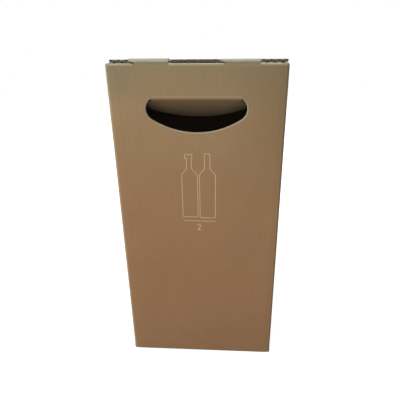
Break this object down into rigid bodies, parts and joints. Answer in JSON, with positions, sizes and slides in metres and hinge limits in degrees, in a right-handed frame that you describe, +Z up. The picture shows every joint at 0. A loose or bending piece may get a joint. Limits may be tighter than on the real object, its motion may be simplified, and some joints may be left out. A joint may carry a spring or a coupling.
{
  "type": "bottle shipping box",
  "caption": "Upright corrugated shipping box for wine bottles with a strap-hinged tuck lid, a crescent hand hole with its grip flap, an interlocking base and a folded divider.",
  "frame": {"origin": "bottom centre of the closed box, on the surface that it stands on", "axes": "+Z up, the height; +X to the right of the front panel; +Y from the front panel with the hand hole to the back panel"},
  "size_m": [0.186, 0.096, 0.375],
  "materials": {
    "kraft_board": "matte",
    "divider_board": "matte"
  },
  "bodies": {
    "carton": {"outer_carton": "kraft_board", "bottle_divider": "divider_board"},
    "lid": {"lid": "kraft_board"},
    "tuck_flap": {"tuck_flap": "kraft_board"},
    "grip_flap": {"grip_flap": "kraft_board"}
  },
  "joints": [
    {"name": "lid_open", "type": "hinge", "parent": "carton", "child": "lid", "pos_m": [0, -0.0468, 0.3738], "axis": [1, 0, 0], "range_deg": [0, 180]},
    {"name": "tuck_fold", "type": "hinge", "parent": "lid", "child": "tuck_flap", "pos_m": [0, 0.0397, 0.3707], "axis": [1, 0, 0], "range_deg": [-72, 0]},
    {"name": "grip_push", "type": "hinge", "parent": "carton", "child": "grip_flap", "pos_m": [0, -0.045, 0.3373], "axis": [1, 0, 0], "range_deg": [-55.3, 84]}
  ],
  "couplings": [
    {"joint": "tuck_fold", "follows": "lid_open", "ratio": -0.4}
  ]
}
